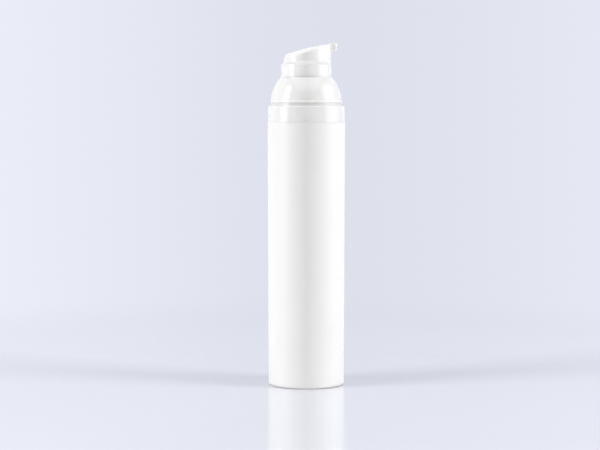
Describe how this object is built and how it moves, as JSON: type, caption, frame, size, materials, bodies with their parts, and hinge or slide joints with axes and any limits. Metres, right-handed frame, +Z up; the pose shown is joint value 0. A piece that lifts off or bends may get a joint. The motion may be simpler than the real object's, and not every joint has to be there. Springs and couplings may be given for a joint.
{
  "type": "airless pump bottle",
  "caption": "Slim round airless pump bottle with a domed shoulder and a push button that runs out into a short beak; no overcap.",
  "frame": {"origin": "centre of the foot, on the surface that the bottle stands on", "axes": "+Z up the bottle's axis, +X the way the beak points at rest"},
  "size_m": [0.0382, 0.0382, 0.1679],
  "materials": {
    "bottle": "satin moulded white polypropylene",
    "base_plate": "moulded white polypropylene",
    "follower_piston": "natural polyethylene",
    "neck_gasket": "soft grey sealing foam",
    "shoulder_ring": "glossy white polypropylene",
    "dome_collar": "glossy white polypropylene",
    "pump_housing": "natural polypropylene",
    "inlet_seat": "natural acetal",
    "inlet_ball": "polished stainless steel",
    "guide_bush": "natural acetal",
    "stem_wiper": "soft grey sealing rubber",
    "stem": "natural acetal",
    "piston_rod": "natural acetal",
    "stem_piston": "natural polyethylene",
    "return_spring": "bright stainless spring wire",
    "flow_elbow": "cream natural plastic",
    "button": "glossy white polypropylene",
    "button_skirt": "glossy white polypropylene",
    "nozzle_insert": "cream natural plastic"
  },
  "bodies": {
    "body": {"bottle": "bottle", "base_plate": "base_plate", "neck_gasket": "neck_gasket", "shoulder_ring": "shoulder_ring", "dome_collar": "dome_collar", "pump_housing": "pump_housing", "inlet_seat": "inlet_seat", "guide_bush": "guide_bush", "stem_wiper": "stem_wiper"},
    "plunger": {"stem": "stem", "piston_rod": "piston_rod", "return_spring": "return_spring"},
    "head": {"button": "button", "button_skirt": "button_skirt", "flow_elbow": "flow_elbow", "nozzle_insert": "nozzle_insert"},
    "seal_piston": {"stem_piston": "stem_piston"},
    "ball": {"inlet_ball": "inlet_ball"},
    "follower": {"follower_piston": "follower_piston"}
  },
  "joints": [
    {"name": "pump_press", "type": "slide", "parent": "body", "child": "plunger", "axis": [0, 0, -1], "range_m": [0, 0.006], "stiffness_N_per_m": 920, "springref_m": -0.008, "deforming": ["return_spring"]},
    {"name": "beak_turn", "type": "hinge", "parent": "plunger", "child": "head", "pos_m": [0, 0, 0.157], "axis": [0, 0, 1], "continuous": true},
    {"name": "piston_slip", "type": "slide", "parent": "plunger", "child": "seal_piston", "axis": [0, 0, 1], "range_m": [0, 0.0008]},
    {"name": "inlet_lift", "type": "slide", "parent": "body", "child": "ball", "axis": [0, 0, 1], "range_m": [0, 0.0008]},
    {"name": "follower_rise", "type": "slide", "parent": "body", "child": "follower", "axis": [0, 0, 1], "range_m": [0, 0.112]}
  ]
}
